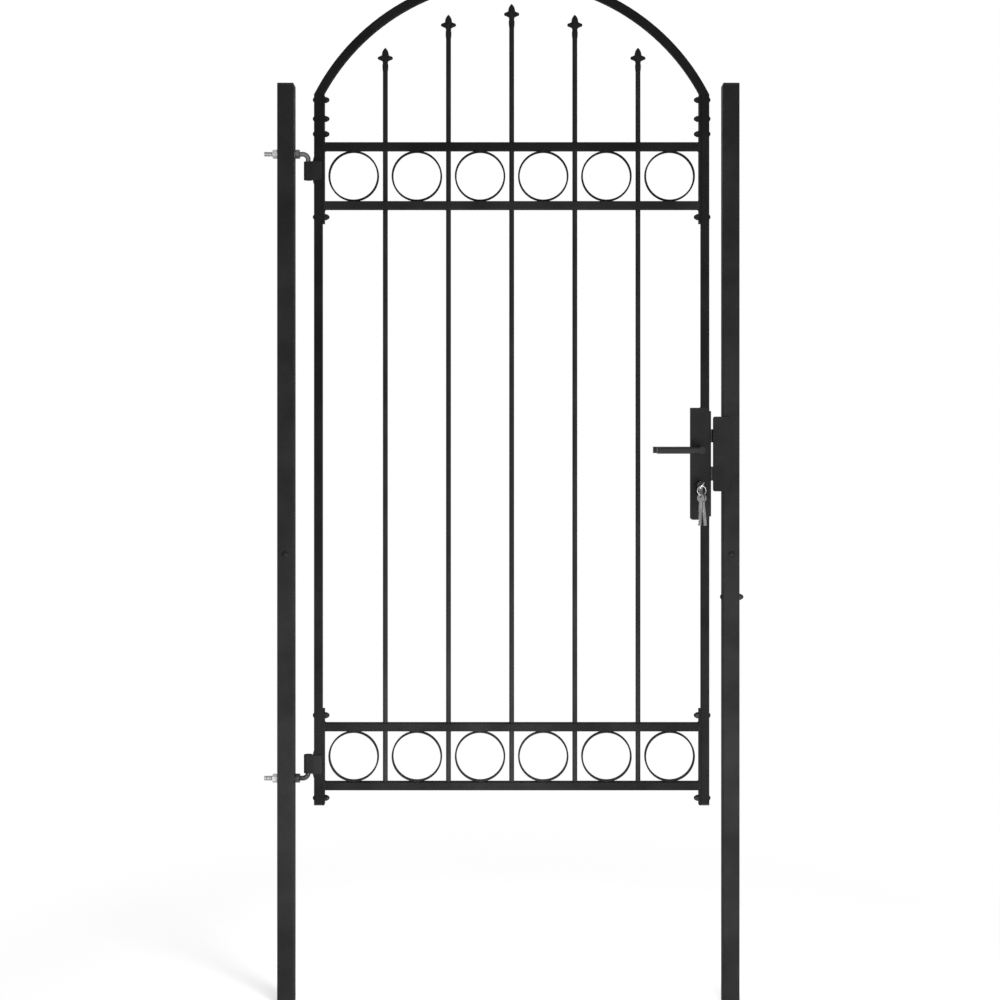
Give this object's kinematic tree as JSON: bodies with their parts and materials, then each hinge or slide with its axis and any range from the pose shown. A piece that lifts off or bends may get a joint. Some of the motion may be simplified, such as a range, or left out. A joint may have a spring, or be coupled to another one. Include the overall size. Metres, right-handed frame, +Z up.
{
  "type": "arched steel garden gate",
  "caption": "Arched steel garden gate between two square posts, with round bars ending in finials, rows of rings, hooked hinge bolts and a lock with levers and keys.",
  "frame": {"origin": "middle of the hinge post's foot", "axes": "+Z up, +X from the hinge post to the lock post, +Y away from the front"},
  "size_m": [1.166, 0.1166, 2.5],
  "materials": {
    "black_powder_coat": "satin black powder coat",
    "cast_black": "satin black powder coat on castings",
    "bolt_black": "black coated bolts and nuts",
    "zinc_plated_steel": "bright zinc plating",
    "black_plastic": "matte black plastic",
    "lock_steel": "dull plated steel",
    "cylinder_nickel": "nickel-plated brass",
    "lever_black": "black coated levers",
    "key_nickel": "nickel-plated keys"
  },
  "bodies": {
    "posts": {"hinge_post": "black_powder_coat", "lock_post": "black_powder_coat", "post_caps": "black_plastic", "post_bolts": "bolt_black", "upper_hinge_bolt": "zinc_plated_steel", "lower_hinge_bolt": "zinc_plated_steel", "hinge_nuts": "zinc_plated_steel", "lock_keep": "black_powder_coat"},
    "leaf": {"hinge_stile": "black_powder_coat", "lock_stile": "black_powder_coat", "arch": "black_powder_coat", "upper_end_strips": "black_powder_coat", "lower_end_strips": "black_powder_coat", "rail_top": "black_powder_coat", "rail_upper": "black_powder_coat", "rail_lower": "black_powder_coat", "rail_bottom": "black_powder_coat", "pickets": "black_powder_coat", "finials": "cast_black", "upper_rings": "black_powder_coat", "lower_rings": "black_powder_coat", "upper_hinge_eye": "black_powder_coat", "lower_hinge_eye": "black_powder_coat", "stile_bolts": "bolt_black", "stile_nuts": "bolt_black", "stile_end_caps": "black_plastic", "lock_box": "black_powder_coat", "lock_case": "lock_steel", "lock_forend": "black_powder_coat", "lock_cylinder": "cylinder_nickel", "cylinder_plug": "cylinder_nickel", "key": "key_nickel", "key_ring": "key_nickel", "spare_keys": "key_nickel"},
    "handle": {"handle_front": "lever_black", "handle_rear": "lever_black", "spindle": "lock_steel"},
    "latch": {"latch_bolt": "lock_steel"},
    "deadbolt": {"deadbolt": "lock_steel"}
  },
  "joints": [
    {"name": "leaf_swing", "type": "hinge", "parent": "posts", "child": "leaf", "pos_m": [0.053, 0, 1.3], "axis": [0, 0, 1], "range_deg": [0, 105]},
    {"name": "handle_turn", "type": "hinge", "parent": "leaf", "child": "handle", "pos_m": [1.004, 0, 1.342], "axis": [0, -1, 0], "range_deg": [0, 35], "stiffness_Nm_per_rad": 1, "springref_deg": -34.38},
    {"name": "latch_slide", "type": "slide", "parent": "leaf", "child": "latch", "axis": [-1, 0, 0], "range_m": [0, 0.011]},
    {"name": "deadbolt_slide", "type": "slide", "parent": "leaf", "child": "deadbolt", "axis": [-1, 0, 0], "range_m": [0, 0.02]}
  ],
  "couplings": [
    {"joint": "latch_slide", "follows": "handle_turn", "m_per_rad": 0.018}
  ]
}
